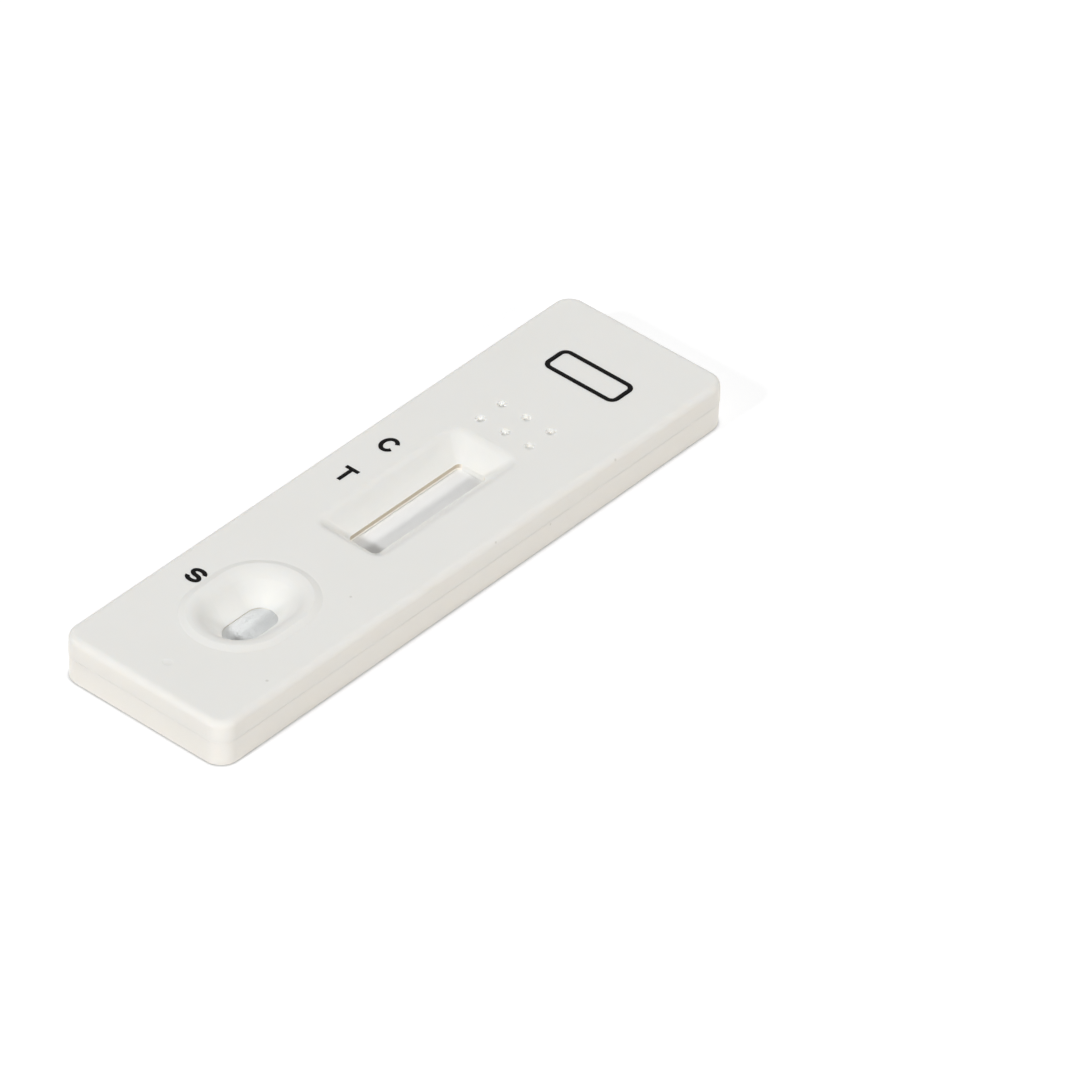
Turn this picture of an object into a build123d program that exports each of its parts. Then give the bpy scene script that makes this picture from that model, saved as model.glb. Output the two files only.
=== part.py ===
from build123d import *
from math import atan2, tan
import os

# Lateral flow cassette in millimetres: X is the width, Y the length with the sample end at minus Y,
# and Z is up from the centre of the base.

# Outside of the closed case
case_length = 70.0
case_width = 20.0
case_height = 5.0
corner_radius = 2.0
top_edge_radius = 0.7
base_edge_bevel = 0.12
wall_draft = 1.0  # degrees that the side walls lean in, away from the joint

# Joint between the two covers
joint_height = 2.75
joint_step = 0.03  # the bottom cover is this much smaller all round
joint_bevel = 0.05  # edge break on both covers, seen as the joint line

# Walls of the two moulded covers
side_wall = 1.2
floor_thickness = 1.0
roof_thickness = 1.1
inner_corner_radius = 0.8

# Test strip: a card that carries a membrane and three pads
strip_width = 4.0
strip_near_room = 6.5  # from the sample end of the case to the strip
strip_far_room = 3.5  # from the other end of the strip to the end of the case
card_thickness = 0.3
membrane_thickness = 0.15
membrane_near_margin = 4.15  # membrane past the sight opening, towards the well
membrane_far_margin = 5.35  # membrane past the sight opening, at its far end
sample_pad_thickness = 0.4
conjugate_pad_thickness = 0.3
absorbent_pad_thickness = 0.7
lap = 2.0  # how far each pad lies on the layer beside it
lap_ramp = 1.0  # length over which a pad climbs onto that layer

# Seat of the strip in the bottom cover
seat_rise = 0.85  # cross ribs above the floor
rib_thickness = 0.8
rib_count = 11
rib_end_margin = 2.5  # from the ends of the strip to the first and last ribs
rail_thickness = 0.8
rail_rise = 0.1  # rails above the top of the card
strip_clearance = 0.1

# Sample well: an oval funnel with a raised rim, drawn about two round ends
well_inset = 14.55  # from the sample end of the case to the middle of the well
well_spread = 3.0  # between the centres of the two round ends
rim_radius = 5.55
rim_height = 0.25
rim_slope = 0.7  # run of the rim's outer slope
rim_flat = 0.05  # least flat between that slope and the round of the mouth
mouth_radius = 3.91
mouth_edge_radius = 2.0
outlet_radius = 1.55
outlet_wall = 0.1  # upright wall between the funnel and the sample pad
funnel_wall = 1.2

# Reading window: a sunk frame with four slopes round the sight opening
window_spacing = 22.85  # from the middle of the well to the middle of the window
window_length = 19.5
window_width = 7.8
window_corner = 1.0
window_edge_radius = 1.1
window_wall = 1.2
sight_length = 15.5
sight_width = 3.5
sight_corner = 0.6
sight_wall = 0.67  # upright wall between the slopes and the foot of the frame
sight_gap = 0.03  # between the foot of the frame and the membrane

# Six sunk dots beyond the window
dot_gap = 3.85  # from the far edge of the window to the middle of the dots
dot_pitch = 3.0
dot_columns = 3
dot_rows = 2
dot_diameter = 1.0
dot_foot_diameter = 0.7
dot_depth = 0.55

# Round press pins on the top cover, and their posts with six-sided sockets in the bottom cover
pin_radius = 0.9
pin_reach = 1.4  # pin below the joint
pin_clearance = 0.02
post_radius = 1.8
pin_side_margin = 3.8  # from the long side of the case to the pins
pin_end_margin = 6.5  # from the ends of the case to the first and last pins
pin_rows = 3
socket_sides = 6
socket_bevel = 0.2  # lead-in at the mouth of each socket
end_pin_margin = 3.6  # from the sample end of the case to the single pin on the middle line
sink_diameter = 1.1  # faint sink mark in the roof over that single pin
sink_depth = 0.08

# Bars under the roof that press the layers of the strip together
bar_thickness = 0.8
wick_bar_count = 2  # bars on the flat of the absorbent pad

# Levels above the base
roof_level = case_height - roof_thickness
seat_level = floor_thickness + seat_rise
card_top = seat_level + card_thickness
membrane_top = card_top + membrane_thickness
sample_pad_top = card_top + sample_pad_thickness
conjugate_pad_top = card_top + conjugate_pad_thickness
absorbent_pad_top = card_top + absorbent_pad_thickness
rail_top = card_top + rail_rise
rim_top = case_height + rim_height
outlet_level = sample_pad_top + outlet_wall
sight_foot = membrane_top + sight_gap
sight_level = sight_foot + sight_wall
window_depth = case_height - sight_level

# Places along the length
well_y = well_inset - case_length / 2
window_y = well_y + window_spacing
dots_y = window_y + window_length / 2 + dot_gap
end_pin_y = end_pin_margin - case_length / 2
strip_start = strip_near_room - case_length / 2
strip_end = case_length / 2 - strip_far_room
strip_length = strip_end - strip_start
strip_middle = (strip_start + strip_end) / 2
membrane_start = window_y - sight_length / 2 - membrane_near_margin
membrane_end = window_y + sight_length / 2 + membrane_far_margin
conjugate_start = well_y + well_spread / 2 + outlet_radius + funnel_wall + lap_ramp
conjugate_end = membrane_start + lap
sample_pad_end = conjugate_start + lap
absorbent_start = membrane_end - lap

# Inside of the case and of the strip's channel
inner_width = case_width - 2 * side_wall
inner_length = case_length - 2 * side_wall
channel_width = strip_width + 2 * strip_clearance
channel_length = strip_length + 2 * strip_clearance
rib_pitch = (strip_length - 2 * rib_end_margin) / (rib_count - 1)

# Round of the mouth, limited by the flat top of the rim that it ends on
mouth_turn = atan2(rim_top - outlet_level, mouth_radius - outlet_radius)
mouth_room = rim_radius - rim_slope - rim_flat - mouth_radius
mouth_round = min(mouth_edge_radius, mouth_room / tan(mouth_turn / 2))

# The sphere that leaves a sink mark of a given width and depth
sink_sphere = (sink_diameter**2 / 4 + sink_depth**2) / (2 * sink_depth)
level_poles = (90, 0, 0)
bevel_taper = 45

pin_span = case_width - 2 * pin_side_margin
pin_pitch = (case_length - 2 * pin_end_margin) / (pin_rows - 1)
side_pins = GridLocations(pin_span, pin_pitch, 2, pin_rows).locations
pin_places = side_pins + [Location((0, end_pin_y))]

# Each pressure bar by its place along the length and the level of the layer under it
wick_flat_start = membrane_end + lap_ramp
wick_bar_step = (strip_end - wick_flat_start) / (wick_bar_count + 1)
bars = [
    (conjugate_start + lap / 2, conjugate_pad_top + sample_pad_thickness),
    (membrane_start + lap / 2, membrane_top + conjugate_pad_thickness),
    (membrane_end - lap / 2, membrane_top + absorbent_pad_thickness),
]
bars += [(wick_flat_start + (i + 1) * wick_bar_step, absorbent_pad_top) for i in range(wick_bar_count)]


def well_oval(level, radius):
    """Oval of the sample well at a level, about its two round ends."""
    with BuildSketch(Plane.XY.offset(level)) as oval:
        with Locations((0, well_y)):
            SlotCenterToCenter(well_spread, 2 * radius, rotation=90)
    return oval.sketch


def funnel_oval(level, wall):
    """Oval of the funnel at a level, grown by a wall."""
    share = (level - outlet_level) / (rim_top - outlet_level)
    return well_oval(level, outlet_radius + share * (mouth_radius - outlet_radius) + wall)


def window_outline(level, wall):
    """Outline of the window's slopes at a level, grown by a wall."""
    share = (level - sight_level) / window_depth
    outline_width = sight_width + share * (window_width - sight_width) + 2 * wall
    outline_length = sight_length + share * (window_length - sight_length) + 2 * wall
    outline_corner = sight_corner + share * (window_corner - sight_corner) + wall
    with BuildSketch(Plane.XY.offset(level)) as outline:
        with Locations((0, window_y)):
            RectangleRounded(outline_width, outline_length, outline_corner)
    return outline.sketch


def pin_circles(level, radius):
    """One circle at a level for every pin."""
    with BuildSketch(Plane.XY.offset(level)) as circles:
        with Locations(*pin_places):
            Circle(radius)
    return circles.sketch


def socket_flats(growth):
    """The six flats of every socket at the joint, grown all round."""
    with BuildSketch(Plane.XY.offset(joint_height)) as flats:
        with Locations(*pin_places):
            RegularPolygon(pin_radius + pin_clearance + growth, socket_sides, major_radius=False)
    return flats.sketch


def lapped_side(flat_end, step, lap_end, step_height, thickness):
    """Side view of a pad that lies flat on the card and climbs onto the layer that starts at the step."""
    ramp_foot = step - lap_ramp if flat_end < step else step + lap_ramp
    under = [(flat_end, card_top), (ramp_foot, card_top)]
    under += [(step, card_top + step_height), (lap_end, card_top + step_height)]
    over = [(y, z + thickness) for y, z in reversed(under)]
    with BuildSketch(Plane.YZ) as side:
        with BuildLine():
            Polyline(*under, *over, close=True)
        make_face()
    return side.sketch


with BuildPart() as bottom_cover:
    # Shallow tray with leaning walls
    with BuildSketch(Plane.XY.offset(joint_height)):
        RectangleRounded(case_width - 2 * joint_step, case_length - 2 * joint_step, corner_radius)
    extrude(amount=-joint_height, taper=wall_draft)
    chamfer(bottom_cover.faces().sort_by(Axis.Z)[0].edges(), base_edge_bevel)
    chamfer(bottom_cover.faces().sort_by(Axis.Z)[-1].edges(), joint_bevel)
    with BuildSketch(Plane.XY.offset(floor_thickness)):
        RectangleRounded(inner_width, inner_length, inner_corner_radius)
    extrude(amount=joint_height - floor_thickness, mode=Mode.SUBTRACT)

    # Rails and end stops round the strip
    with BuildSketch(Plane.XY.offset(floor_thickness)):
        with Locations((0, strip_middle)):
            Rectangle(channel_width + 2 * rail_thickness, channel_length + 2 * rail_thickness)
            Rectangle(channel_width, channel_length, mode=Mode.SUBTRACT)
    extrude(amount=rail_top - floor_thickness)

    # Cross ribs that carry the strip
    with BuildSketch(Plane.XY.offset(floor_thickness)):
        with Locations((0, strip_middle)):
            with GridLocations(channel_width, rib_pitch, 1, rib_count):
                Rectangle(channel_width, rib_thickness)
    extrude(amount=seat_level - floor_thickness)

    # Posts with blind sockets, whose six flats lie round the press pins
    extrude(pin_circles(joint_height, post_radius), amount=floor_thickness - joint_height)
    extrude(socket_flats(0), amount=-(pin_reach + pin_clearance), mode=Mode.SUBTRACT)
    extrude(socket_flats(socket_bevel), amount=-socket_bevel, taper=bevel_taper, mode=Mode.SUBTRACT)

with BuildPart() as top_cover:
    # Shell with a soft top edge
    with BuildSketch(Plane.XY.offset(joint_height)):
        RectangleRounded(case_width, case_length, corner_radius)
    extrude(amount=case_height - joint_height, taper=wall_draft)
    fillet(top_cover.faces().sort_by(Axis.Z)[-1].edges(), top_edge_radius)
    chamfer(top_cover.faces().sort_by(Axis.Z)[0].edges(), joint_bevel)
    with BuildSketch(Plane.XY.offset(joint_height)):
        RectangleRounded(inner_width, inner_length, inner_corner_radius)
    extrude(amount=roof_level - joint_height, mode=Mode.SUBTRACT)

    # Pressure bars under the roof
    for bar_y, bar_level in bars:
        with BuildSketch(Plane.XY.offset(bar_level)):
            with Locations((0, bar_y)):
                Rectangle(strip_width, bar_thickness)
        extrude(amount=roof_level - bar_level)

    # Press pins that reach below the joint
    extrude(pin_circles(roof_level, pin_radius), amount=joint_height - pin_reach - roof_level)

    # Outer skins of the funnel and of the window frame, hanging from the roof to the strip
    loft([funnel_oval(roof_level, funnel_wall), funnel_oval(outlet_level, funnel_wall)], ruled=True)
    extrude(well_oval(outlet_level, outlet_radius + funnel_wall), amount=-outlet_wall)
    loft([window_outline(roof_level, window_wall), window_outline(sight_level, window_wall)], ruled=True)
    extrude(window_outline(sight_level, window_wall), amount=sight_foot - sight_level)

    # Funnel and its outlet, through the raised rim
    loft([well_oval(case_height, rim_radius), well_oval(rim_top, rim_radius - rim_slope)], ruled=True)
    loft([funnel_oval(rim_top, 0), funnel_oval(outlet_level, 0)], ruled=True, mode=Mode.SUBTRACT)
    extrude(well_oval(outlet_level, outlet_radius), amount=-outlet_wall, mode=Mode.SUBTRACT)
    rim_face = top_cover.faces().sort_by(Axis.Z)[-1]
    fillet(rim_face.inner_wires()[0].edges(), mouth_round)

    # Four slopes down to the sight opening
    loft([window_outline(case_height, 0), window_outline(sight_level, 0)], ruled=True, mode=Mode.SUBTRACT)
    extrude(window_outline(sight_level, 0), amount=sight_foot - sight_level, mode=Mode.SUBTRACT)
    roof_face = top_cover.faces().filter_by(Plane.XY).group_by(Axis.Z)[-2].sort_by(SortBy.AREA)[-1]
    fillet(roof_face.inner_wires().sort_by(Axis.Y)[-1].edges(), window_edge_radius)

    # Sunk dots with a drafted wall
    with Locations((0, dots_y, case_height - dot_depth / 2)):
        with GridLocations(dot_pitch, dot_pitch, dot_columns, dot_rows):
            Cone(dot_foot_diameter / 2, dot_diameter / 2, dot_depth, mode=Mode.SUBTRACT)

    # Sink mark over the single pin, cut by a sphere whose poles lie level
    with Locations((0, end_pin_y, case_height + sink_sphere - sink_depth)):
        Sphere(sink_sphere, rotation=level_poles, mode=Mode.SUBTRACT)

with BuildPart() as backing_card:
    with BuildSketch(Plane.XY.offset(seat_level)):
        with Locations((0, strip_middle)):
            Rectangle(strip_width, strip_length)
    extrude(amount=card_thickness)

with BuildPart() as membrane:
    with BuildSketch(Plane.XY.offset(card_top)):
        with Locations((0, (membrane_start + membrane_end) / 2)):
            Rectangle(strip_width, membrane_end - membrane_start)
    extrude(amount=membrane_thickness)

with BuildPart() as conjugate_pad:
    conjugate_side = lapped_side(
        conjugate_start, membrane_start, conjugate_end, membrane_thickness, conjugate_pad_thickness
    )
    extrude(conjugate_side, amount=strip_width / 2, both=True)

with BuildPart() as sample_pad:
    sample_side = lapped_side(
        strip_start, conjugate_start, sample_pad_end, conjugate_pad_thickness, sample_pad_thickness
    )
    extrude(sample_side, amount=strip_width / 2, both=True)

with BuildPart() as absorbent_pad:
    absorbent_side = lapped_side(
        strip_end, membrane_end, absorbent_start, membrane_thickness, absorbent_pad_thickness
    )
    extrude(absorbent_side, amount=strip_width / 2, both=True)

pieces = {
    "bottom_cover": bottom_cover,
    "top_cover": top_cover,
    "backing_card": backing_card,
    "membrane": membrane,
    "conjugate_pad": conjugate_pad,
    "sample_pad": sample_pad,
    "absorbent_pad": absorbent_pad,
}
os.makedirs("parts", exist_ok=True)
for name, piece in pieces.items():
    piece.part.label = name
    export_step(piece.part, f"parts/{name}.step")
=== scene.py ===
"""Looks of a lateral flow cassette: two moulded covers, the strip inside and the printed marks."""

import logging
from dataclasses import dataclass
from enum import Enum
from math import cos, pi, radians, sin
from typing import Any

import bmesh
import bpy
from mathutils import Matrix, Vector


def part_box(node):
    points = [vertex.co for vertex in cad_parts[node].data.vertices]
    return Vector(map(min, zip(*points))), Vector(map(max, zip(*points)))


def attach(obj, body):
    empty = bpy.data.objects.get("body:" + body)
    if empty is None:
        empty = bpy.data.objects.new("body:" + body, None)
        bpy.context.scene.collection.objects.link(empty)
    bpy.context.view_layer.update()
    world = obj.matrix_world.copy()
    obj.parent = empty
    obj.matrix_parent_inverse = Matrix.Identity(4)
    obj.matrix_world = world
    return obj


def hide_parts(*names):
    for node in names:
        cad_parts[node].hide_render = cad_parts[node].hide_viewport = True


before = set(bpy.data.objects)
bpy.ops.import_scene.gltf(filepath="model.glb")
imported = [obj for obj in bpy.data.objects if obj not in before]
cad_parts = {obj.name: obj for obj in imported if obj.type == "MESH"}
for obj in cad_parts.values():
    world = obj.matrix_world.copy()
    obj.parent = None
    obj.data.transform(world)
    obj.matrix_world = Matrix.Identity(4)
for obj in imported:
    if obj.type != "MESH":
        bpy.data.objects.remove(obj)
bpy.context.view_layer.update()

BODY = "root"
MM = 0.001
WELD = 0.001 * MM
WHITE = "FFFFFF"
# Layer that keeps the way the true surface faces.
FACING = "moulded_facing"
# Height of the well's rim above the top face.
RIM_MM = 0.25
# Steps and profile of a cut edge's round.
EDGE_STEPS = 2
EDGE_PROFILE = 0.5
# Angles in degrees, from +X.
UP = 90
DOWN = 270
QUARTER = 90
# Angle between two points of a printed bow, in degrees.
BOW_STEP = 9

Tree = bpy.types.NodeTree
Socket = bpy.types.NodeSocket
Point = tuple[float, float]

log = logging.getLogger("cassette")


class Slot(Enum):
    """The record's material slots, by what they cover."""

    CASE = "case"
    CARD = "card"
    MEMBRANE = "membrane"
    CONJUGATE = "conjugate"
    PAD = "pad"
    PRINT = "print"


def linear(hex_colour: str) -> tuple[float, float, float, float]:
    """Turn an sRGB hex colour into linear light.

    Args:
        hex_colour: six hex digits, red, green, blue.

    Returns:
        Linear red, green and blue with full opacity.
    """
    parts = [int(hex_colour[i:i + 2], 16) / 255 for i in (0, 2, 4)]
    light = [p / 12.92 if p <= 0.04045 else ((p + 0.055) / 1.055) ** 2.4 for p in parts]
    return (light[0], light[1], light[2], 1.0)


def add_node(
    tree: Tree, kind: str, inputs: dict[str | int, Any] | None = None, **settings: Any,
) -> bpy.types.Node:
    """Add one node with its settings, and set or link its inputs.

    Args:
        tree: the node tree that takes the node.
        kind: the node's type.
        inputs: a value or an output socket for each input, by name or number.
        **settings: the node's own properties.

    Returns:
        The new node.
    """
    node = tree.nodes.new(kind)
    for name, value in settings.items():
        setattr(node, name, value)
    for key, value in (inputs or {}).items():
        if isinstance(value, Socket):
            tree.links.new(value, node.inputs[key])
        else:
            node.inputs[key].default_value = value
    return node


def new_tree(name: str, inputs: dict[str, str]) -> Tree:
    """Start a Geometry Nodes tree that takes a geometry and gives one.

    Args:
        name: the tree's name.
        inputs: the kind of each further input, by its name.

    Returns:
        The tree, with its sockets and no node.
    """
    tree = bpy.data.node_groups.new(name, "GeometryNodeTree")
    for label, kind in {"Geometry": "Geometry", **inputs}.items():
        tree.interface.new_socket(label, in_out="INPUT", socket_type=f"NodeSocket{kind}")
    tree.interface.new_socket("Geometry", in_out="OUTPUT", socket_type="NodeSocketGeometry")
    return tree


def set_inputs(modifier: bpy.types.NodesModifier, values: dict[str, Any]) -> None:
    """Set a node modifier's inputs through their socket identifiers.

    Args:
        modifier: the modifier, before its object is first evaluated.
        values: a value for each named input.
    """
    sockets = modifier.node_group.interface.items_tree
    names = {s.name: s.identifier for s in sockets if s.in_out == "INPUT"}
    for name, value in values.items():
        modifier[names[name]] = value


def add_object(name: str, mesh: bpy.types.Mesh) -> bpy.types.Object:
    """Put a mesh into the scene as an object at the origin.

    Args:
        name: the object's name.
        mesh: its mesh, with its place in it.

    Returns:
        The object.
    """
    piece = bpy.data.objects.new(name, mesh)
    bpy.context.scene.collection.objects.link(piece)
    return piece


def welded_copy(node: str) -> bmesh.types.BMesh:
    """Copy a solid's loose triangles and weld them into one closed skin.

    The way that the true surface faces at each corner stays with the copy, in a layer of its own.

    Args:
        node: the solid's name.

    Returns:
        The welded skin, to be freed by the caller.
    """
    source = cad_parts[node].data
    skin = bmesh.new()
    facing = skin.loops.layers.float_vector.new(FACING)
    corners = [skin.verts.new(corner.co) for corner in source.vertices]
    for face in source.polygons:
        copy = skin.faces.new([corners[i] for i in face.vertices])
        for loop, index in zip(copy.loops, face.loop_indices):
            loop[facing] = source.corner_normals[index].vector
    bmesh.ops.remove_doubles(skin, verts=skin.verts, dist=WELD)
    bmesh.ops.dissolve_degenerate(skin, edges=skin.edges, dist=WELD)
    return skin


def round_edges(body: bmesh.types.BMesh, edge_mm: float) -> None:
    """Round every edge of a body.

    Args:
        body: the body.
        edge_mm: how far the round reaches from each edge.
    """
    bmesh.ops.bevel(
        body, geom=body.edges[:], offset=edge_mm * MM, offset_type="OFFSET", segments=EDGE_STEPS,
        profile=EDGE_PROFILE, affect="EDGES", clamp_overlap=True,
    )


def smooth_mesh(name: str, body: bmesh.types.BMesh) -> bpy.types.Mesh:
    """Turn a body into a mesh that is shaded smooth, and free the body.

    Args:
        name: the mesh's name.
        body: the body.

    Returns:
        The mesh.
    """
    for face in body.faces:
        face.smooth = True
    mesh = bpy.data.meshes.new(name)
    body.to_mesh(mesh)
    body.free()
    return mesh


def baked_mesh(piece: bpy.types.Object) -> None:
    """Replace a piece's mesh by what its modifiers make of it, and remove them.

    Args:
        piece: the piece.
    """
    bpy.context.view_layer.update()
    shown = piece.evaluated_get(bpy.context.evaluated_depsgraph_get())
    mesh = bpy.data.meshes.new_from_object(shown)
    piece.modifiers.clear()
    old = piece.data
    piece.data = mesh
    mesh.name = piece.name
    if old.users == 0:
        bpy.data.meshes.remove(old)


def top_level() -> float:
    """Level of the top face, which the rim of the well stands above."""
    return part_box("top_cover")[1].z - RIM_MM * MM


def keep(piece: bpy.types.Object, slot: Slot, *nodes: str) -> None:
    """Let a piece ride with the case, log its slot and stand for its solids.

    Args:
        piece: the finished piece.
        slot: the record's slot for its finish.
        *nodes: the solids that it stands for.
    """
    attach(piece, BODY)
    if nodes:
        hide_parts(*nodes)
    log.info("%s: %d faces, slot %s", piece.name, len(piece.data.polygons), slot.value)


@dataclass(frozen=True)
class Pattern:
    """A noise pattern: its real size, and how fine, uneven and tangled it is."""

    size_mm: float
    detail: float
    uneven: float = 0.5
    tangle: float = 0.0

    def inputs(self, place: Socket) -> dict[str | int, Any]:
        """Give the pattern's values for a noise, as Object coordinates are in metres.

        Args:
            place: where the pattern is read.

        Returns:
            A value or a socket for each input.
        """
        scale = 1.0 / (self.size_mm * MM)
        return {
            "Vector": place, "Scale": scale, "Detail": self.detail,
            "Roughness": self.uneven, "Distortion": self.tangle,
        }


@dataclass(frozen=True)
class Relief:
    """A fine relief: its pattern, its depth and how strongly it shows."""

    pattern: Pattern
    depth_mm: float
    strength: float


@dataclass(frozen=True)
class Surface:
    """A material in the making: its tree, its shader and the place that its patterns read."""

    tree: Tree
    shader: bpy.types.Node
    place: Socket

    def feed(self, name: str, source: Socket) -> None:
        """Link a socket to one of the shader's inputs."""
        self.tree.links.new(source, self.shader.inputs[name])

    def cloud(self, pattern: Pattern, first: str, second: str) -> tuple[Socket, Socket]:
        """Add a pattern that drifts from one colour to another.

        Args:
            pattern: the pattern.
            first: the colour where it is low.
            second: the colour where it is high.

        Returns:
            The pattern and the colour.
        """
        share = add_node(self.tree, "ShaderNodeTexNoise", pattern.inputs(self.place)).outputs["Fac"]
        colour = add_node(
            self.tree, "ShaderNodeMix",
            {"Factor": share, "A": linear(first), "B": linear(second)}, data_type="RGBA",
        ).outputs["Result"]
        return share, colour

    def emboss(self, relief: Relief) -> None:
        """Add a fine relief.

        Args:
            relief: the relief.
        """
        height = add_node(
            self.tree, "ShaderNodeTexNoise", relief.pattern.inputs(self.place),
        ).outputs["Fac"]
        bump = add_node(
            self.tree, "ShaderNodeBump",
            {"Height": height, "Strength": relief.strength, "Distance": relief.depth_mm * MM},
        ).outputs["Normal"]
        self.feed("Normal", bump)


@dataclass(frozen=True)
class Finish:
    """One surface: its common name, its colour and how glossy it is."""

    name: str
    colour: str
    roughness: float
    ior: float

    def material(self) -> bpy.types.Material:
        """Make the material, with what the surface's own pattern adds.

        Returns:
            The material.
        """
        material = bpy.data.materials.new(self.name)
        material.use_nodes = True
        tree = material.node_tree
        tree.nodes.clear()
        values = {"Base Color": linear(self.colour), "Roughness": self.roughness, "IOR": self.ior}
        shader = add_node(tree, "ShaderNodeBsdfPrincipled", values)
        add_node(tree, "ShaderNodeOutputMaterial", {"Surface": shader.outputs["BSDF"]})
        place = add_node(tree, "ShaderNodeTexCoord").outputs["Object"]
        self.dress(Surface(tree, shader, place))
        return material

    def dress(self, surface: Surface) -> None:
        """Add the surface's own pattern; each finish has its own."""
        raise NotImplementedError


@dataclass(frozen=True)
class Speck:
    """A dust speck or scuff: its middle and its radius, in mm."""

    x: float
    y: float
    z: float
    radius: float


@dataclass(frozen=True)
class MouldedPolystyrene(Finish):
    """White polystyrene from a spark-eroded mould: a satin sheen, faint flow clouds, fine grain.

    Light goes a little way into the plastic, so edges and thin walls look warm and soft.
    """

    name: str = "polystyrene_white_moulded_satin"
    colour: str = "E8E7E3"
    cloud_colour: str = "E5E4DF"
    roughness: float = 0.7
    roughness_spread: float = 0.06
    ior: float = 1.59
    glow: float = 0.4
    glow_depth_mm: float = 0.8
    glow_tint: tuple[float, float, float] = (1.0, 0.88, 0.74)
    clouds: Pattern = Pattern(9.0, detail=3.0, uneven=0.55)
    # Real spark erosion is about 0.03 mm; it is drawn coarser so that it shows.
    grain: Relief = Relief(Pattern(0.16, detail=2.0), depth_mm=0.004, strength=0.22)
    specks: tuple[Speck, ...] = (
        Speck(8.25, -27.25, 5.0, 0.2),
        Speck(5.75, -13.25, 5.0, 0.18),
        Speck(9.95, 2.0, 4.7, 0.2),
        Speck(9.95, 18.75, 4.7, 0.22),
        Speck(9.98, 9.6, 2.4, 0.16),
    )
    speck_colour: str = "D3D1CB"
    speck_edge: float = 0.45

    def dress(self, surface: Surface) -> None:
        """Add flow clouds, specks, uneven gloss and the mould's fine grain.

        Args:
            surface: the material in the making.
        """
        tree, shader = surface.tree, surface.shader
        clouds, colour = surface.cloud(self.clouds, self.colour, self.cloud_colour)
        for speck in self.specks:
            reach = add_node(
                tree, "ShaderNodeVectorMath",
                {0: surface.place, 1: (speck.x * MM, speck.y * MM, speck.z * MM)},
                operation="DISTANCE",
            ).outputs["Value"]
            cover = add_node(
                tree, "ShaderNodeMapRange",
                {"Value": reach, "From Min": speck.radius * self.speck_edge * MM,
                 "From Max": speck.radius * MM, "To Min": 1.0, "To Max": 0.0},
                interpolation_type="SMOOTHSTEP",
            ).outputs["Result"]
            colour = add_node(
                tree, "ShaderNodeMix",
                {"Factor": cover, "A": colour, "B": linear(self.speck_colour)}, data_type="RGBA",
            ).outputs["Result"]
        gloss = add_node(
            tree, "ShaderNodeMapRange",
            {"Value": clouds, "To Min": self.roughness - self.roughness_spread,
             "To Max": self.roughness + self.roughness_spread},
        ).outputs["Result"]
        surface.feed("Base Color", colour)
        surface.feed("Roughness", gloss)
        surface.emboss(self.grain)
        shader.inputs["Subsurface Weight"].default_value = self.glow
        shader.inputs["Subsurface Radius"].default_value = self.glow_tint
        shader.inputs["Subsurface Scale"].default_value = self.glow_depth_mm * MM


@dataclass(frozen=True)
class ShadePaintedPolystyrene(MouldedPolystyrene):
    """Plastic of the upright walls beside the strip, with painted shade and painted light.

    The tan is painted shade, warm as if lit through the wall; painted light makes the foot and
    corners pale.
    """

    name: str = "polystyrene_white_painted_wall_shade"
    # The tan colour is painted shade, warmed as if light came through the thin wall.
    colour: str = "BFB3A1"
    cloud_colour: str = "B8AB98"
    specks: tuple[Speck, ...] = ()
    # Painted light: the foot of the wall and its corners are turned pale.
    painted_light_colour: str = "F4EFE4"
    painted_light_mm: float = 2.5
    painted_shade_mm: float = 2.62
    painted_light_facing: float = 0.3
    painted_shade_facing: float = 0.8

    def dress(self, surface: Surface) -> None:
        """Add the moulded surface with painted shade, and painted light towards the foot of the
        wall and round its corners.

        Args:
            surface: the material in the making.
        """
        super().dress(surface)
        tree = surface.tree
        # The tan base colour is the painted shade; it fades to painted light low down and where the
        # wall turns to face along the strip.
        warm = surface.shader.inputs["Base Color"].links[0].from_socket
        height = add_node(tree, "ShaderNodeSeparateXYZ", {"Vector": surface.place}).outputs["Z"]
        share = add_node(
            tree, "ShaderNodeMapRange",
            {"Value": height, "From Min": self.painted_light_mm * MM, "From Max": self.painted_shade_mm * MM},
        ).outputs["Result"]
        facing = add_node(tree, "ShaderNodeTexCoord").outputs["Normal"]
        across = add_node(tree, "ShaderNodeSeparateXYZ", {"Vector": facing}).outputs["X"]
        sideways = add_node(
            tree, "ShaderNodeMath", {0: across}, operation="ABSOLUTE",
        ).outputs["Value"]
        share = add_node(
            tree, "ShaderNodeMapRange",
            {"Value": sideways, "From Min": self.painted_light_facing, "From Max": self.painted_shade_facing,
             "To Max": share},
        ).outputs["Result"]
        colour = add_node(
            tree, "ShaderNodeMix",
            {"Factor": share, "A": linear(self.painted_light_colour), "B": warm}, data_type="RGBA",
        ).outputs["Result"]
        surface.feed("Base Color", colour)


@dataclass(frozen=True)
class Membrane(Finish):
    """Cast nitrocellulose: a dead matt, neutral white with a very fine chalky grain."""

    name: str = "nitrocellulose_cast_matt"
    colour: str = "F0F0EF"
    thin_colour: str = "ECECEA"
    roughness: float = 0.9
    ior: float = 1.5
    clouds: Pattern = Pattern(2.2, detail=4.0)
    # Real pores are about 0.01 mm; they are drawn coarser so that they show.
    pores: Relief = Relief(Pattern(0.12, detail=3.0), depth_mm=0.005, strength=0.3)

    def dress(self, surface: Surface) -> None:
        """Add casting clouds and the chalky grain.

        Args:
            surface: the material in the making.
        """
        _, colour = surface.cloud(self.clouds, self.colour, self.thin_colour)
        surface.feed("Base Color", colour)
        surface.emboss(self.pores)


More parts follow.
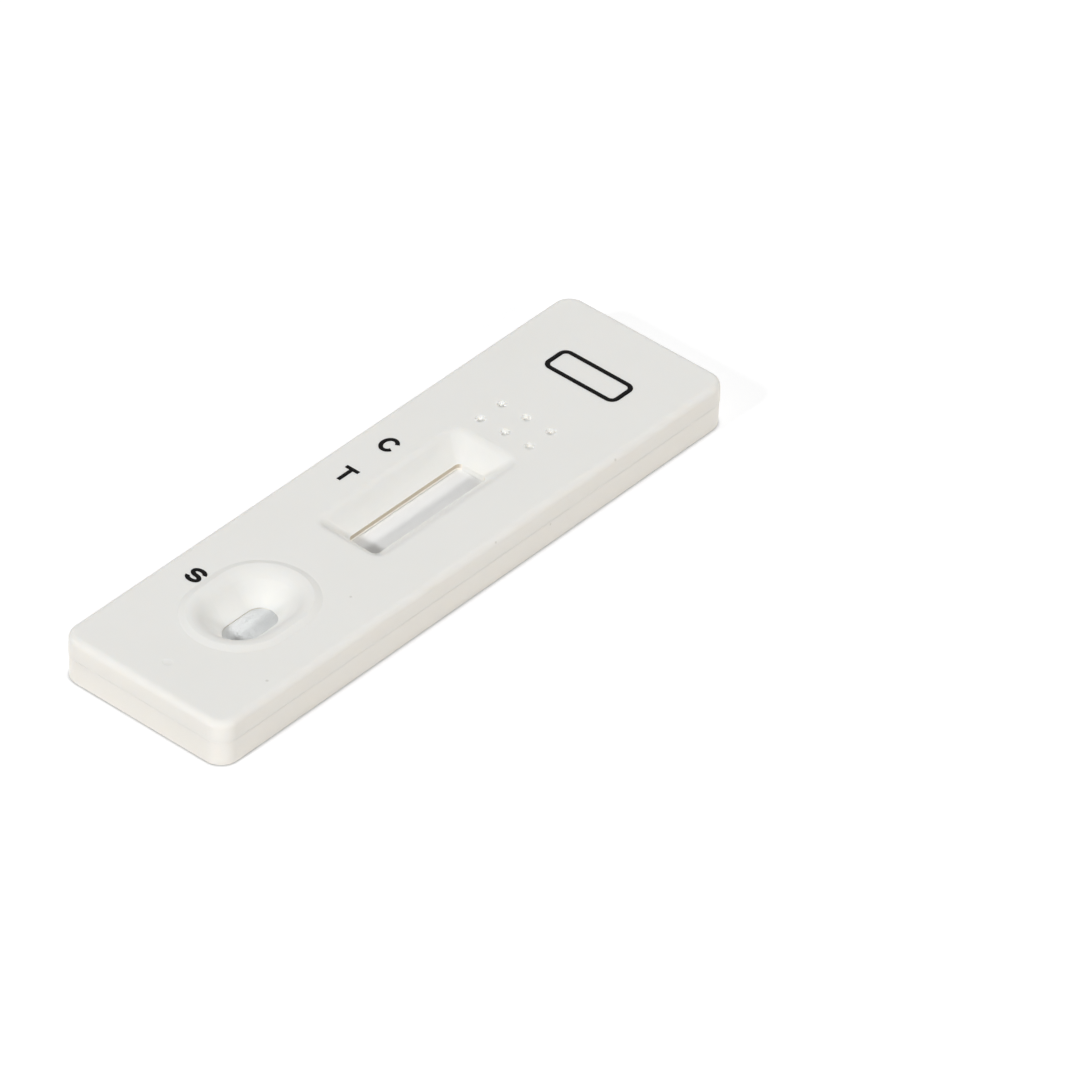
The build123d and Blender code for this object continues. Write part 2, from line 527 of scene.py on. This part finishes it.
@dataclass(frozen=True)
class FibreMat(Finish):
    """A pressed fibre mat: matt, with a grain of matted threads and a soft bloom at the edge."""

    name: str = "cellulose_fibre_pressed"
    colour: str = "E9EAE9"
    deep_colour: str = "E4E6E6"
    roughness: float = 0.92
    ior: float = 1.47
    bloom: float = 0.3
    tufts: Pattern = Pattern(0.7, detail=4.0, uneven=0.6)
    # Real threads are 0.02 mm; the grain between them is drawn coarser so that it shows.
    threads: Relief = Relief(Pattern(0.2, detail=4.0, tangle=0.3), depth_mm=0.036, strength=0.8)

    def dress(self, surface: Surface) -> None:
        """Add uneven tufts, the thread grain and the bloom.

        Args:
            surface: the material in the making.
        """
        _, colour = surface.cloud(self.tufts, self.colour, self.deep_colour)
        surface.feed("Base Color", colour)
        surface.emboss(self.threads)
        surface.shader.inputs["Sheen Weight"].default_value = self.bloom


@dataclass(frozen=True)
class VinylCard(Finish):
    """Calendered vinyl sheet: smooth, slightly glossy white with faint streaks along its length."""

    name: str = "vinyl_sheet_calendered"
    colour: str = "EFEFEC"
    streak_colour: str = "E9E9E4"
    roughness: float = 0.35
    ior: float = 1.53
    streaks: Pattern = Pattern(0.6, detail=2.0)
    stretch: float = 0.03

    def dress(self, surface: Surface) -> None:
        """Add streaks that run along the card.

        Args:
            surface: the material in the making.
        """
        along = add_node(
            surface.tree, "ShaderNodeMapping",
            {"Vector": surface.place, "Scale": (1.0, self.stretch, 1.0)},
        ).outputs["Vector"]
        rolled = Surface(surface.tree, surface.shader, along)
        _, colour = rolled.cloud(self.streaks, self.colour, self.streak_colour)
        rolled.feed("Base Color", colour)


@dataclass(frozen=True)
class PadPrintInk(Finish):
    """Pad printing ink: an opaque soft black, a little thinner in places where the pad lifted."""

    name: str = "ink_black_pad_printed"
    colour: str = "070707"
    thin_colour: str = "141313"
    roughness: float = 0.75
    ior: float = 1.5
    sheen: float = 0.06
    film: Pattern = Pattern(0.35, detail=3.0)

    def dress(self, surface: Surface) -> None:
        """Add the uneven ink film.

        Args:
            surface: the material in the making.
        """
        _, colour = surface.cloud(self.film, self.colour, self.thin_colour)
        surface.feed("Base Color", colour)
        surface.shader.inputs["Specular IOR Level"].default_value = self.sheen


@dataclass
class Case:
    """The two moulded covers, pressed together for good."""

    finish: Finish = MouldedPolystyrene()
    # The upright walls along the reading slot get painted shade, tan as if warm light came through
    # them.
    wall_shade_finish: Finish = ShadePaintedPolystyrene()
    wall_shade_place: int = 1
    thin_half_width_mm: float = 2.3
    thin_low_mm: float = 2.3
    thin_high_mm: float = 3.02
    thin_end_mm: float = 30.0
    thin_facing: float = 0.25
    thin_slope: float = 0.2
    # The sunk dots beyond the window are shallow dimples to the eye.
    dots_half_width_mm: float = 3.7
    dots_near_mm: float = 13.8
    dots_far_mm: float = 18.2
    dots_deepest_mm: float = 0.6
    dots_share: float = 0.65

    def build(self) -> None:
        """Make both covers."""
        finishes = [self.finish.material(), self.wall_shade_finish.material()]
        for node in ("top_cover", "bottom_cover"):
            cover = self.skin(node)
            for material in finishes:
                cover.data.materials.append(material)
            self.paint_wall_shade(cover.data)
            keep(cover, Slot.CASE, node)

    def skin(self, node: str) -> bpy.types.Object:
        """Make one cover as a closed skin.

        Args:
            node: the cover's solid.

        Returns:
            The cover, shaded as its true surface faces, so that rounds and cones stay smooth.
        """
        shell = welded_copy(node)
        self.ease_dots(shell)
        mesh = smooth_mesh(node, shell)
        facing = mesh.attributes[FACING]
        mesh.normals_split_custom_set([tuple(corner.vector) for corner in facing.data])
        mesh.attributes.remove(mesh.attributes[FACING])
        return add_object(f"{node}_moulded", mesh)

    def ease_dots(self, shell: bmesh.types.BMesh) -> None:
        """Make the sunk dots shallower, and turn the way that their walls face to match.

        Args:
            shell: the cover's skin.
        """
        facing = shell.loops.layers.float_vector[FACING]
        top = top_level()
        deepest = top - self.dots_deepest_mm * MM
        share = self.dots_share
        for corner in shell.verts:
            x, y, _ = corner.co / MM
            among = abs(x) < self.dots_half_width_mm and self.dots_near_mm < y < self.dots_far_mm
            if not among or corner.co.z < deepest:
                continue
            corner.co.z = top - (top - corner.co.z) * share
            for loop in corner.link_loops:
                out = loop[facing]
                loop[facing] = Vector((out.x * share, out.y * share, out.z)).normalized()

    def paint_wall_shade(self, mesh: bpy.types.Mesh) -> None:
        """Give the upright walls along the strip the finish with painted shade and painted light.

        Args:
            mesh: the cover's mesh.
        """
        for face in mesh.polygons:
            x, y, z = face.center / MM
            beside_strip = abs(x) < self.thin_half_width_mm and abs(y) < self.thin_end_mm
            at_level = self.thin_low_mm < z < self.thin_high_mm
            sideways = abs(face.normal.x) > self.thin_facing
            upright = abs(face.normal.z) < self.thin_slope
            if beside_strip and at_level and sideways and upright:
                face.material_index = self.wall_shade_place


@dataclass
class FibrePad:
    """One pressed fibre pad: a soft-edged body with loose threads over its top."""

    node: str
    slot: Slot
    finish: Finish
    seed: int
    edge_mm: float = 0.06
    nap_mm: float = 0.03
    thread_mm: float = 0.9
    thread_radius_mm: float = 0.01
    thread_bow: float = 0.28
    thread_steps: int = 6
    thread_sides: int = 4
    # Least and greatest share of the nap's height, and of a thread's length.
    thread_lift: tuple[float, float] = (0.2, 0.65)
    thread_size: tuple[float, float] = (0.45, 1.0)
    threads_per_mm2: float = 8.0
    inset_mm: float = 0.5
    flat: float = radians(0.5)
    # How far a face of the top, and one that takes threads, looks up.
    top_facing: float = 0.5
    thread_facing: float = 0.9

    def build(self) -> None:
        """Make the pad's body, grow its threads and let it stand for its solid."""
        pad = add_object(f"{self.node}_fibre", self.body())
        grow = pad.modifiers.new("threads", "NODES")
        grow.node_group = self.thread_tree()
        low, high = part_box(self.node)
        inset = Vector((self.inset_mm * MM, self.inset_mm * MM, 0))
        set_inputs(grow, {
            "Density": self.threads_per_mm2 / MM ** 2,
            "Length": self.thread_mm * MM,
            "Radius": self.thread_radius_mm * MM,
            "Nap": self.nap_mm * MM,
            "Middle": (low + high) / 2,
            "Reach": (high - low) / 2 - inset,
            "Seed": self.seed,
            "Material": self.finish.material(),
        })
        baked_mesh(pad)
        keep(pad, self.slot, self.node)

    def body(self) -> bpy.types.Mesh:
        """Make the pad's body, lower than its solid by the height of the nap.

        Returns:
            The body's mesh.
        """
        body = welded_copy(self.node)
        bmesh.ops.dissolve_limit(
            body, angle_limit=self.flat, verts=body.verts, edges=body.edges,
            use_dissolve_boundaries=False,
        )
        tops = {
            corner for face in body.faces if face.normal.z > self.top_facing
            for corner in face.verts
        }
        for corner in tops:
            corner.co.z -= self.nap_mm * MM
        round_edges(body, self.edge_mm)
        return smooth_mesh(self.node, body)

    def thread_tree(self) -> Tree:
        """Build the tree that lays bowed threads at random over the pad's upper faces.

        Returns:
            The tree.
        """
        tree = new_tree("pad_threads", {
            "Density": "Float", "Length": "Float", "Radius": "Float", "Nap": "Float",
            "Middle": "Vector", "Reach": "Vector", "Seed": "Int", "Material": "Material",
        })
        given = add_node(tree, "NodeGroupInput").outputs
        scatter = add_node(
            tree, "GeometryNodeDistributePointsOnFaces",
            {"Mesh": given["Geometry"], "Selection": self.upper_faces(tree),
             "Density": given["Density"], "Seed": given["Seed"]},
        )
        kept = add_node(
            tree, "GeometryNodeSeparateGeometry",
            {"Geometry": scatter.outputs["Points"], "Selection": self.clear_of_edges(tree, given)},
            domain="POINT",
        ).outputs["Selection"]
        depth, yaw, size = (
            add_node(
                tree, "FunctionNodeRandomValue",
                {"Min": least, "Max": most, "Seed": given["Seed"]}, data_type="FLOAT",
            ).outputs[1]
            for least, most in (self.thread_lift, (0.0, 2 * pi), self.thread_size)
        )
        lift = add_node(
            tree, "ShaderNodeMath", {0: depth, 1: given["Nap"]}, operation="MULTIPLY",
        ).outputs["Value"]
        rise = add_node(tree, "ShaderNodeCombineXYZ", {"Z": lift}).outputs["Vector"]
        points = add_node(
            tree, "GeometryNodeSetPosition", {"Geometry": kept, "Offset": rise},
        ).outputs["Geometry"]
        turn = add_node(tree, "ShaderNodeCombineXYZ", {"Z": yaw}).outputs["Vector"]
        rotation = add_node(
            tree, "FunctionNodeRotateRotation",
            {"Rotation": scatter.outputs["Rotation"], "Rotate By": turn}, rotation_space="LOCAL",
        ).outputs["Rotation"]
        laid = add_node(
            tree, "GeometryNodeInstanceOnPoints",
            {"Points": points, "Instance": self.thread(tree, given),
             "Rotation": rotation, "Scale": size},
        ).outputs["Instances"]
        both = add_node(tree, "GeometryNodeJoinGeometry", {"Geometry": given["Geometry"]})
        tree.links.new(laid, both.inputs["Geometry"])
        real = add_node(
            tree, "GeometryNodeRealizeInstances", {"Geometry": both.outputs["Geometry"]},
        ).outputs["Geometry"]
        dressed = add_node(
            tree, "GeometryNodeSetMaterial", {"Geometry": real, "Material": given["Material"]},
        ).outputs["Geometry"]
        add_node(tree, "NodeGroupOutput", {"Geometry": dressed})
        return tree

    def thread(self, tree: Tree, given: Any) -> Socket:
        """Add the nodes of one bowed thread.

        Args:
            tree: the pad's tree.
            given: the tree's inputs.

        Returns:
            The thread's mesh, lying flat and centred.
        """
        half, back, bow = (
            add_node(
                tree, "ShaderNodeMath", {0: given["Length"], 1: share}, operation="MULTIPLY",
            ).outputs["Value"]
            for share in (0.5, -0.5, self.thread_bow)
        )
        line = add_node(
            tree, "GeometryNodeCurveQuadraticBezier",
            {"Resolution": self.thread_steps,
             "Start": add_node(tree, "ShaderNodeCombineXYZ", {"X": back}).outputs["Vector"],
             "Middle": add_node(tree, "ShaderNodeCombineXYZ", {"Y": bow}).outputs["Vector"],
             "End": add_node(tree, "ShaderNodeCombineXYZ", {"X": half}).outputs["Vector"]},
        ).outputs["Curve"]
        ring = add_node(
            tree, "GeometryNodeCurvePrimitiveCircle",
            {"Resolution": self.thread_sides, "Radius": given["Radius"]},
        ).outputs["Curve"]
        tube = add_node(
            tree, "GeometryNodeCurveToMesh",
            {"Curve": line, "Profile Curve": ring, "Fill Caps": True},
        ).outputs["Mesh"]
        return add_node(tree, "GeometryNodeSetShadeSmooth", {"Geometry": tube}).outputs["Geometry"]

    def clear_of_edges(self, tree: Tree, given: Any) -> Socket:
        """Add the nodes that choose places far enough from the pad's cut edges for a whole thread.

        Args:
            tree: the pad's tree.
            given: the tree's inputs.

        Returns:
            The choice, as a true or false value at each place.
        """
        place = add_node(tree, "GeometryNodeInputPosition").outputs["Position"]
        away = add_node(
            tree, "ShaderNodeVectorMath", {0: place, 1: given["Middle"]}, operation="SUBTRACT",
        ).outputs["Vector"]
        size = add_node(
            tree, "ShaderNodeVectorMath", {0: away}, operation="ABSOLUTE",
        ).outputs["Vector"]
        return add_node(
            tree, "FunctionNodeCompare", {4: size, 5: given["Reach"]},
            data_type="VECTOR", mode="ELEMENT", operation="LESS_EQUAL",
        ).outputs["Result"]

    def upper_faces(self, tree: Tree) -> Socket:
        """Add the nodes that choose the faces on top.

        Args:
            tree: the pad's tree.

        Returns:
            The choice, as a true or false value at each face.
        """
        normal = add_node(tree, "GeometryNodeInputNormal").outputs["Normal"]
        up = add_node(tree, "ShaderNodeSeparateXYZ", {"Vector": normal}).outputs["Z"]
        return add_node(
            tree, "FunctionNodeCompare", {0: up, 1: self.thread_facing},
            data_type="FLOAT", operation="GREATER_THAN",
        ).outputs["Result"]


@dataclass
class Strip:
    """The test strip: a stiff card that carries the membrane and three fibre pads."""

    membrane: Finish = Membrane()
    card: Finish = VinylCard()
    sample: Finish = FibreMat()
    wick: Finish = FibreMat(
        name="cotton_linter_pressed", colour="EFEEEA", deep_colour="E0DFD9",
        tufts=Pattern(0.9, detail=4.0, uneven=0.6),
    )
    conjugate: Finish = FibreMat(
        name="glass_fibre_stained", colour="C08A90", deep_colour="A8686F",
        tufts=Pattern(0.5, detail=4.0, uneven=0.6), bloom=0.2,
    )
    sheet_edge_mm: float = 0.025
    sheet_cells_per_mm: float = 4.0
    cockle_mm: float = 0.008
    cockle_along_mm: float = 3.1
    cockle_across_mm: float = 2.0

    def build(self) -> None:
        """Make the strip's layers."""
        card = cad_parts["backing_card"].data
        card.materials.clear()
        card.materials.append(self.card.material())
        log.info("backing_card: solid kept, slot %s", Slot.CARD.value)
        self.build_membrane()
        FibrePad("sample_pad", Slot.PAD, self.sample, seed=3, threads_per_mm2=24.0).build()
        FibrePad("conjugate_pad", Slot.CONJUGATE, self.conjugate, seed=5).build()
        FibrePad("absorbent_pad", Slot.PAD, self.wick, seed=7).build()

    def build_membrane(self) -> None:
        """Make the membrane as a thin sheet with soft cut edges and a slight cockle."""
        low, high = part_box("membrane")
        size = high - low
        sheet = bmesh.new()
        bmesh.ops.create_cube(sheet, size=1.0)
        for corner in sheet.verts:
            corner.co = Vector(low[i] + (corner.co[i] + 0.5) * size[i] for i in range(3))
        round_edges(sheet, self.sheet_edge_mm)
        for axis in (0, 1):
            self.slice(sheet, low, high, axis)
        along, across = self.cockle_along_mm * MM, self.cockle_across_mm * MM
        for corner in sheet.verts:
            if corner.co.z > high.z - WELD:
                wave = sin(corner.co.y / along) * cos(corner.co.x / across)
                corner.co.z -= 0.5 * self.cockle_mm * MM * (1 + wave)
        mesh = smooth_mesh("membrane", sheet)
        mesh.materials.append(self.membrane.material())
        keep(add_object("membrane_sheet", mesh), Slot.MEMBRANE, "membrane")

    def slice(self, sheet: bmesh.types.BMesh, low: Vector, high: Vector, axis: int) -> None:
        """Cut the sheet into cells along one axis, so that it can cockle.

        Args:
            sheet: the membrane's mesh.
            low: its lowest corner.
            high: its highest corner.
            axis: 0 across the strip, 1 along it, where the cells are twice as long.
        """
        cells = round((high[axis] - low[axis]) / MM * self.sheet_cells_per_mm / (1 + axis))
        normal = Vector((1 - axis, axis, 0))
        for i in range(1, cells):
            bmesh.ops.bisect_plane(
                sheet, geom=sheet.verts[:] + sheet.edges[:] + sheet.faces[:],
                plane_co=low.lerp(high, i / cells), plane_no=normal,
            )


@dataclass(frozen=True)
class Stroke:
    """One line of print: points in mm on the top face, and whether it closes on itself."""

    points: tuple[Point, ...]
    closed: bool = False


def arc(
    x: float, y: float, width: float, height: float, start: float, end: float,
) -> list[Point]:
    """Points of an elliptic arc.

    Args:
        x: middle across.
        y: middle along.
        width: half width.
        height: half height.
        start: first angle in degrees, from +X.
        end: last angle.

    Returns:
        The points, one for every few degrees.
    """
    count = max(2, round(abs(end - start) / BOW_STEP))
    turns = [radians(start + (end - start) * i / count) for i in range(count + 1)]
    return [(x + width * cos(t), y + height * sin(t)) for t in turns]


class Mark(Enum):
    """The plain function marks that such a case carries, and the bare field at its far end."""

    CONTROL = "control_line"
    TEST = "test_line"
    SAMPLE = "sample_well"
    FIELD = "blank_field"


@dataclass(frozen=True)
class Print:
    """Where one mark stands on the top face, its outer size and its line, in mm."""

    x: float
    y: float
    width: float
    height: float
    line: float


@dataclass
class Marks:
    """Pad printed marks on the top face: one letter beside each line and the well, and a frame."""

    ink: Finish = PadPrintInk()
    film_mm: float = 0.016
    control: Print = Print(-6.55, 5.75, 1.85, 2.2, 0.44)
    test: Print = Print(-6.55, -0.2, 1.55, 2.2, 0.42)
    sample: Print = Print(-6.55, -20.55, 1.7, 2.05, 0.45)
    field: Print = Print(0.1, 26.3, 8.9, 3.5, 0.5)
    field_corner_mm: float = 0.7
    # First and last angle of the bowed letters' lines.
    control_ends: tuple[float, float] = (32, 330)
    sample_ends: tuple[float, float] = (2, -178)

    def build(self) -> None:
        """Print every mark."""
        marks: dict[Mark, tuple[Print, list[Stroke]]] = {
            Mark.CONTROL: (self.control, self.letter_c()),
            Mark.TEST: (self.test, self.letter_t()),
            Mark.SAMPLE: (self.sample, self.letter_s()),
            Mark.FIELD: (self.field, self.blank_field()),
        }
        material = self.ink.material()
        tree = self.ribbon_tree()
        for mark, (spot, strokes) in marks.items():
            self.print_mark(mark, strokes, spot.line, tree, material)

    def letter_c(self) -> list[Stroke]:
        """Draw the control mark: an open ring.

        Returns:
            Its line.
        """
        spot = self.control
        half = (spot.width - spot.line) / 2
        tall = (spot.height - spot.line) / 2
        return [Stroke(tuple(arc(spot.x, spot.y, half, tall, *self.control_ends)))]

    def letter_t(self) -> list[Stroke]:
        """Draw the test mark: a bar and a stem that ends at the bar's lower edge.

        Returns:
            Its two lines.
        """
        spot = self.test
        top = spot.y + (spot.height - spot.line) / 2
        bar = Stroke(((spot.x - spot.width / 2, top), (spot.x + spot.width / 2, top)))
        stem = Stroke(((spot.x, spot.y - spot.height / 2), (spot.x, top - spot.line / 2)))
        return [bar, stem]

    def letter_s(self) -> list[Stroke]:
        """Draw the sample mark: two bowls that join in the middle.

        Returns:
            Its line.
        """
        spot = self.sample
        half = (spot.width - spot.line) / 2
        bowl = (spot.height - spot.line) / 4
        first, last = self.sample_ends
        upper = arc(spot.x, spot.y + bowl, half, bowl, first, DOWN)
        lower = arc(spot.x, spot.y - bowl, half, bowl, UP, last)
        return [Stroke(tuple(upper + lower[1:]))]

    def blank_field(self) -> list[Stroke]:
        """Draw the empty frame at the far end, with round corners.

        Returns:
            Its closed line.
        """
        spot = self.field
        corner = self.field_corner_mm
        half = (spot.width - spot.line) / 2 - corner
        tall = (spot.height - spot.line) / 2 - corner
        points: list[Point] = []
        for side, (right, up) in enumerate(((1, 1), (-1, 1), (-1, -1), (1, -1))):
            x = spot.x + right * half
            y = spot.y + up * tall
            start = side * QUARTER
            points += arc(x, y, corner, corner, start, start + QUARTER)
        return [Stroke(tuple(points), closed=True)]

    def print_mark(
        self, mark: Mark, strokes: list[Stroke], width: float, tree: Tree,
        material: bpy.types.Material,
    ) -> None:
        """Lay one mark's ink film on the top face.

        Args:
            mark: which mark it is.
            strokes: its lines.
            width: the line's width in mm.
            tree: the ribbon tree.
            material: the ink.
        """
        level = top_level() + 0.5 * self.film_mm * MM
        mesh = bpy.data.meshes.new(mark.value)
        corners: list[tuple[float, float, float]] = []
        edges: list[tuple[int, int]] = []
        for stroke in strokes:
            first = len(corners)
            corners += [(x * MM, y * MM, level) for x, y in stroke.points]
            edges += [(i, i + 1) for i in range(first, len(corners) - 1)]
            if stroke.closed:
                edges.append((len(corners) - 1, first))
        mesh.from_pydata(corners, edges, [])
        piece = add_object(f"print_{mark.value}", mesh)
        ribbon = piece.modifiers.new("ink", "NODES")
        ribbon.node_group = tree
        set_inputs(ribbon, {"Width": width * MM, "Film": self.film_mm * MM, "Ink": material})
        baked_mesh(piece)
        keep(piece, Slot.PRINT)

    def ribbon_tree(self) -> Tree:
        """Build the tree that turns a path into a flat ribbon of ink.

        Returns:
            The tree.
        """
        tree = new_tree("ink_ribbon", {"Width": "Float", "Film": "Float", "Ink": "Material"})
        given = add_node(tree, "NodeGroupInput").outputs
        path = add_node(
            tree, "GeometryNodeMeshToCurve", {"Mesh": given["Geometry"]},
        ).outputs["Curve"]
        level = add_node(
            tree, "GeometryNodeSetCurveNormal", {"Curve": path}, mode="Z_UP",
        ).outputs["Curve"]
        section = add_node(
            tree, "GeometryNodeCurvePrimitiveQuadrilateral",
            {"Width": given["Width"], "Height": given["Film"]},
        ).outputs["Curve"]
        ribbon = add_node(
            tree, "GeometryNodeCurveToMesh",
            {"Curve": level, "Profile Curve": section, "Fill Caps": True},
        ).outputs["Mesh"]
        real = add_node(
            tree, "GeometryNodeRealizeInstances", {"Geometry": ribbon},
        ).outputs["Geometry"]
        inked = add_node(
            tree, "GeometryNodeSetMaterial", {"Geometry": real, "Material": given["Ink"]},
        ).outputs["Geometry"]
        add_node(tree, "NodeGroupOutput", {"Geometry": inked})
        return tree


@dataclass(frozen=True)
class Lamp:
    """A soft lamp: where it stands as seen from the case, its width, its light and its tint."""

    name: str
    towards: tuple[float, float, float]
    distance: float
    width: float
    watts: float
    tint: str = WHITE


@dataclass
class Studio:
    """A plain white table, soft lamps and the camera."""

    lamps: tuple[Lamp, ...] = (
        Lamp("key", (-0.15, -1.455, 1.0), 2.4, 0.27, 38.0, "FCFDFF"),
        Lamp("side", (1.55, -0.1, 1.0), 2.4, 0.24, 27.4),
        Lamp("left", (-1.5, 0.2, 1.0), 2.4, 1.6, 14.5),
        Lamp("back", (0.0, 1.5, 1.0), 2.4, 1.6, 17.5),
    )
    ambient: float = 0.02
    view: float = 1.0
    floor_half: float = 2.0
    floor_drop_mm: float = 0.01
    floor_colour: str = "E8E1D9"
    floor_bounce: float = 0.18
    floor_lift: float = 0.75
    floor_shade: float = 0.36
    # Reach and rays of the contact shadow painted into the table's white lift.
    contact_mm: float = 0.35
    contact_rays: int = 4
    target_mm: tuple[float, float, float] = (10.2964, 7.7851, 1.7917)
    azimuth: float = 39.637
    elevation: float = 38.657
    roll: float = 2.2336
    distance_mm: float = 869.0
    focal_px: float = 9462.5
    frame_px: float = 1080.0
    sensor_mm: float = 36.0
    nearest: float = 0.01
    farthest: float = 20.0

    def build(self) -> None:
        """Set up the table, the light and the camera."""
        bpy.context.scene.view_settings.view_transform = "Standard"
        self.build_floor()
        self.build_world()
        for lamp in self.lamps:
            self.hang(lamp)
        self.place_camera()

    def hang(self, lamp: Lamp) -> None:
        """Hang one lamp and aim it at the case.

        Args:
            lamp: the lamp.
        """
        light = bpy.data.lights.new(lamp.name, "AREA")
        light.shape = "DISK"
        light.size = lamp.width
        light.energy = lamp.watts
        light.color = linear(lamp.tint)[:3]
        lantern = bpy.data.objects.new(lamp.name, light)
        out = Vector(lamp.towards).normalized()
        lantern.location = out * lamp.distance
        lantern.rotation_euler = out.to_track_quat("Z", "Y").to_euler()
        bpy.context.scene.collection.objects.link(lantern)

    def build_floor(self) -> None:
        """Lay the table top just below the case."""
        half = self.floor_half
        height = -self.floor_drop_mm * MM
        mesh = bpy.data.meshes.new("table")
        signs = ((-1, -1), (1, -1), (1, 1), (-1, 1))
        mesh.from_pydata([(x * half, y * half, height) for x, y in signs], [], [(0, 1, 2, 3)])
        mesh.materials.append(self.floor_material())
        add_object("table", mesh)

    def floor_material(self) -> bpy.types.Material:
        """Make a pale lacquer that shows white and still takes the case's shadow, with a painted
        contact shadow in its white lift.

        Returns:
            The material.
        """
        material = bpy.data.materials.new("table_white_lacquer")
        material.use_nodes = True
        tree = material.node_tree
        tree.nodes.clear()
        tint = linear(self.floor_colour)
        matt = add_node(tree, "ShaderNodeBsdfDiffuse", {"Color": tint}).outputs["BSDF"]
        bounce = add_node(
            tree, "ShaderNodeEmission", {"Color": tint, "Strength": self.floor_bounce},
        ).outputs["Emission"]
        plain = add_node(tree, "ShaderNodeAddShader", {0: matt, 1: bounce}).outputs["Shader"]
        shade = (self.floor_shade, self.floor_shade, self.floor_shade, 1.0)
        seen = add_node(tree, "ShaderNodeBsdfDiffuse", {"Color": shade}).outputs["BSDF"]
        # The white lift is dimmed by ambient occlusion near the case: a painted contact shadow.
        open_sky = add_node(
            tree, "ShaderNodeAmbientOcclusion", {"Distance": self.contact_mm * MM},
            samples=self.contact_rays,
        ).outputs["AO"]
        level = add_node(
            tree, "ShaderNodeMath", {0: open_sky, 1: self.floor_lift}, operation="MULTIPLY",
        ).outputs["Value"]
        lift = add_node(tree, "ShaderNodeEmission", {"Strength": level}).outputs["Emission"]
        white = add_node(tree, "ShaderNodeAddShader", {0: seen, 1: lift}).outputs["Shader"]
        surface = add_node(
            tree, "ShaderNodeMixShader", {"Fac": self.seen_rays(tree), 1: plain, 2: white},
        ).outputs["Shader"]
        add_node(tree, "ShaderNodeOutputMaterial", {"Surface": surface})
        return material

    def seen_rays(self, tree: Tree) -> Socket:
        """Add the nodes that tell rays of sight, mirrored and passed ones too, from rays of light.

        Args:
            tree: the tree of the table or the room.

        Returns:
            One for a ray of sight, and nought for a ray of light.
        """
        path = add_node(tree, "ShaderNodeLightPath").outputs
        seen = path["Is Camera Ray"]
        for kind in ("Is Glossy Ray", "Is Transmission Ray"):
            seen = add_node(
                tree, "ShaderNodeMath", {0: seen, 1: path[kind]}, operation="MAXIMUM",
            ).outputs["Value"]
        return seen

    def build_world(self) -> None:
        """Fill the room with soft light, and show it white."""
        world = bpy.data.worlds.new("studio_room")
        world.use_nodes = True
        tree = world.node_tree
        tree.nodes.clear()
        room, view = (
            add_node(
                tree, "ShaderNodeBackground", {"Color": linear(WHITE), "Strength": level},
            ).outputs["Background"]
            for level in (self.ambient, self.view)
        )
        surface = add_node(
            tree, "ShaderNodeMixShader", {"Fac": self.seen_rays(tree), 1: room, 2: view},
        ).outputs["Shader"]
        add_node(tree, "ShaderNodeOutputWorld", {"Surface": surface})
        bpy.context.scene.world = world

    def place_camera(self) -> None:
        """Stand the camera where the photograph was taken from."""
        lens = bpy.data.cameras.new("camera")
        lens.sensor_width = self.sensor_mm
        lens.lens = self.focal_px / self.frame_px * self.sensor_mm
        lens.clip_start = self.nearest
        lens.clip_end = self.farthest
        eye = bpy.data.objects.new("camera", lens)
        turn, lift, roll = (radians(a) for a in (self.azimuth, self.elevation, self.roll))
        right = Vector((cos(turn), sin(turn), 0))
        back = Vector((sin(turn) * cos(lift), -cos(turn) * cos(lift), sin(lift)))
        up = back.cross(right)
        level_right = cos(roll) * right + sin(roll) * up
        level_up = cos(roll) * up - sin(roll) * right
        pose = eye.matrix_world.to_3x3()
        for column, axis in enumerate((level_right, level_up, back)):
            pose.col[column] = axis
        eye.matrix_world = pose.to_4x4()
        eye.location = (Vector(self.target_mm) + back * self.distance_mm) * MM
        bpy.context.scene.collection.objects.link(eye)
        bpy.context.scene.camera = eye


def main() -> None:
    """Build the case, the strip, the marks and the studio in order."""
    logging.basicConfig(level=logging.INFO, format="%(name)s: %(message)s")
    Case().build()
    Strip().build()
    Marks().build()
    Studio().build()


if __name__ == "__main__":
    main()
